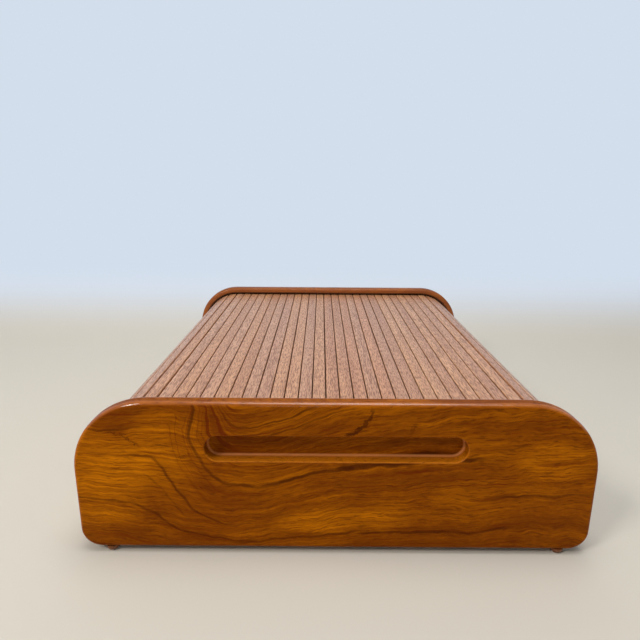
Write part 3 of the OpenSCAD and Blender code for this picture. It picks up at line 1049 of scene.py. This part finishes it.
def solids_of(bm):
    """The separate solids of a bmesh, as sets of vertices. The tallest comes first."""
    left, found = set(bm.verts), []
    while left:
        reached, queue = set(), [left.pop()]
        while queue:
            vert = queue.pop()
            reached.add(vert)
            queue += [e.other_vert(vert) for e in vert.link_edges
                      if e.other_vert(vert) not in reached]
        left -= reached
        found.append(reached)
    return sorted(found, key=lambda part: min(v.co.z for v in part) - max(v.co.z for v in part))


def sanded_copy(node, matrix=None, wood_only=False):
    """The node's mesh in its own space, with welded corners and softened edges."""
    bm = bmesh.new()
    bm.from_mesh(nodes[node].data)
    bmesh.ops.remove_doubles(bm, verts=bm.verts, dist=WELDED)
    if matrix is not None:
        bm.transform(matrix.inverted())
    if wood_only:
        keep = solids_of(bm)[0]
        bmesh.ops.delete(bm, geom=[v for v in bm.verts if v not in keep], context="VERTS")
    bmesh.ops.dissolve_limit(bm, angle_limit=FLAT_ANGLE, verts=bm.verts, edges=bm.edges)
    sharp = [e for e in bm.edges if e.is_manifold and e.calc_face_angle(0) > EDGE_ANGLE]
    bmesh.ops.bevel(bm, geom=sharp, offset=SANDED, segments=2, profile=0.5, affect="EDGES",
                    clamp_overlap=True)
    bmesh.ops.recalc_face_normals(bm, faces=bm.faces)
    return bm


BOARD_PAIRS = [("left_side_board", "right_side_board", board_teak, "panel_teak"),
               ("bottom_board", "floor_board", inner_teak, "inner_teak"),
               ("left_inner_wall", "right_inner_wall", wall_teak, "inner_teak")]
for *pair, material, slot in BOARD_PAIRS:
    for node in pair:
        finish_piece(sanded_copy(node), node + "_wood", material, node)

rail_matrix, _ = lie_of("lead_rail")
rail = finish_piece(sanded_copy("lead_rail", rail_matrix, True), "lead_rail_wood", slat_teak,
                    "lead_rail", rail_matrix)
mark_board(rail, 0.35, 0.0)
print("pairs of boards:", len(BOARD_PAIRS), "and a rail with", len(rail.data.vertices), "points")

# %% [markdown]
# ### Pieces kept from the frame
#
# The end panels, feet and dowels are exact already, down to the round rim and the recess, so they
# stay as they are and only get their finish.

# %% Give the kept pieces their finish
KEPT = {"front_end_panel": front_teak, "back_end_panel": back_teak,
        "side_board_dowels": dowel_beech}
KEPT.update({node: foot_teak for node in nodes if node.startswith("foot_")})
for node, material in KEPT.items():
    nodes[node].data.materials.clear()
    nodes[node].data.materials.append(material)
print("kept from the frame:", sorted(KEPT))

# %% [markdown]
# ## The studio
#
# The box stands on a plain pale floor in front of a pale, slightly blue wall. A wall is more than
# a background here: the slats are seen at a shallow angle, so they mirror it, and that soft
# reflection is what makes them look paler than the panels. Floor and wall are one sheet with a
# wide bend, as in a photographer's studio, so no line runs behind the object.

# %% The floor and its bend up into a wall
FLOOR_REACH = 3.0
WALL_Y, WALL_TOP = 0.62, 1.9
BEND, BEND_STEPS = 0.36, 24
# The floor turns into the wall's colour over this height.
WALL_STARTS, WALL_FULL = 0.0, 0.1
FLOOR_PAPER, WALL_PAPER = paint(202, 195, 180), paint(220, 228, 238)
PAPER_SPOTS, WALL_SEEN = paint(190, 190, 190), paint(211, 222, 236)


def make_sweep():
    """A sheet that lies flat under the box and curves up into a wall behind it."""
    profile = [(-FLOOR_REACH, 0.0), (WALL_Y - BEND, 0.0)]
    for bent in range(1, BEND_STEPS + 1):
        angle = math.pi / 2 * bent / BEND_STEPS
        profile.append((WALL_Y - BEND + BEND * math.sin(angle), BEND * (1 - math.cos(angle))))
    profile.append((WALL_Y, WALL_TOP))
    mesh = bpy.data.meshes.new("studio_sweep")
    verts = [(x, y, z) for y, z in profile for x in (-FLOOR_REACH, FLOOR_REACH)]
    faces = [(2 * i, 2 * i + 1, 2 * i + 3, 2 * i + 2) for i in range(len(profile) - 1)]
    mesh.from_pydata(verts, [], faces)
    mesh.shade_smooth()
    return new_object("studio_sweep", mesh)


def sweep_material():
    """A pale floor that shades by itself, and a wall that the camera and gloss see as plain."""
    material, shader, coordinates = start_material("studio_paper")
    tree, place = material.node_tree, coordinates["Object"]
    rise = soft_mask(parts_of(place)[2], WALL_STARTS, WALL_FULL)
    fill(shader, Roughness=0.85, Specular_IOR_Level=0.2, Base_Color=layered(
        blend(rise, FLOOR_PAPER, WALL_PAPER), [(noise(place, 3.0, 3.0) * 0.06, PAPER_SPOTS)]))
    plain = add_node(tree, "ShaderNodeEmission", Color=WALL_SEEN, Strength=1.0)["Emission"]
    ray = add_node(tree, "ShaderNodeLightPath")
    seen = clamped(ray["Is Camera Ray"] + ray["Is Glossy Ray"])
    either = step("ShaderNodeMixShader", (seen * rise, Value(shader.outputs[0]), plain))
    surface = next(n for n in tree.nodes if n.type == "OUTPUT_MATERIAL")
    feed(surface.inputs[0], either)
    return material


sweep = make_sweep()
sweep.data.materials.append(sweep_material())
print("the wall stands", WALL_Y, "m behind the box's middle")

# %% [markdown]
# ### Light
#
# A soft lamp high up at the front left models the box: it brightens the front and leaves the
# recess's left end in shade. A larger one right above lights the slats. A small low lamp in front
# draws the bright line along the round top edge of the front panel. The world adds an even, cool
# fill. It is darker on the camera's side, as the room behind a photographer is, which keeps the
# oiled front deep in colour.

# %% Lamps and world
LAMPS = [
    # Name, place, what it looks at, size, power and colour
    ("key_lamp", (-1.15, -1.15, 1.45), (0, -0.1, 0.06), 0.45, 18.0, (1.0, 0.97, 0.93)),
    ("top_lamp", (0.1, -0.25, 1.6), (0, -0.1, 0), 0.9, 13.5, (0.98, 0.98, 1.0)),
    ("front_lamp", (-0.15, -1.9, 0.78), (0, -0.2, 0.1), 0.3, 4.8, (1.0, 0.98, 0.96))]
WALL_LIGHT = (0.80, 0.87, 0.98, 1.0)
ROOM_DARK = (0.10, 0.10, 0.11, 1.0)
WORLD_STRENGTH = 0.55


def soft_lamp(name, place, aim, size, power, colour):
    """A square area lamp that looks from its place at a point."""
    data = bpy.data.lights.new(name, "AREA")
    data.shape, data.size = "SQUARE", size
    data.energy, data.color = power, colour
    lamp = new_object(name, data)
    lamp.location = place
    lamp.rotation_euler = (Vector(aim) - Vector(place)).to_track_quat("-Z", "Y").to_euler()


def make_world():
    """Pale behind the box, darker on the camera's side, and plain where the camera sees it."""
    world = bpy.data.worlds.new("studio_world")
    world.use_nodes = True
    tree = world.node_tree
    tree.nodes.clear()
    _, ahead, up = parts_of(add_node(tree, "ShaderNodeTexCoord")["Generated"])
    room = blend(soft_mask(up * 0.5 + ahead, -0.75, 0.35), ROOM_DARK, WALL_LIGHT)
    light, seen = (add_node(tree, "ShaderNodeBackground", Color=colour, Strength=strength)
                   for colour, strength in ((room, WORLD_STRENGTH), (WALL_SEEN, 1.0)))
    camera_ray = add_node(tree, "ShaderNodeLightPath")["Is Camera Ray"]
    fill(tree.nodes.new("ShaderNodeOutputWorld"), Surface=step(
        "ShaderNodeMixShader", (camera_ray, light["Background"], seen["Background"])))
    bpy.context.scene.world = world


for lamp in LAMPS:
    soft_lamp(*lamp)
make_world()
print("lamps:", [lamp[0] for lamp in LAMPS])

# %% [markdown]
# ## Sizes and the end
#
# The dressed box must stay inside the frame's box, so the frame's box is printed at the end.

# %% Print the frame's box
print("frame box:", [round(v / MM, 2) for corner in cad_box for v in corner])
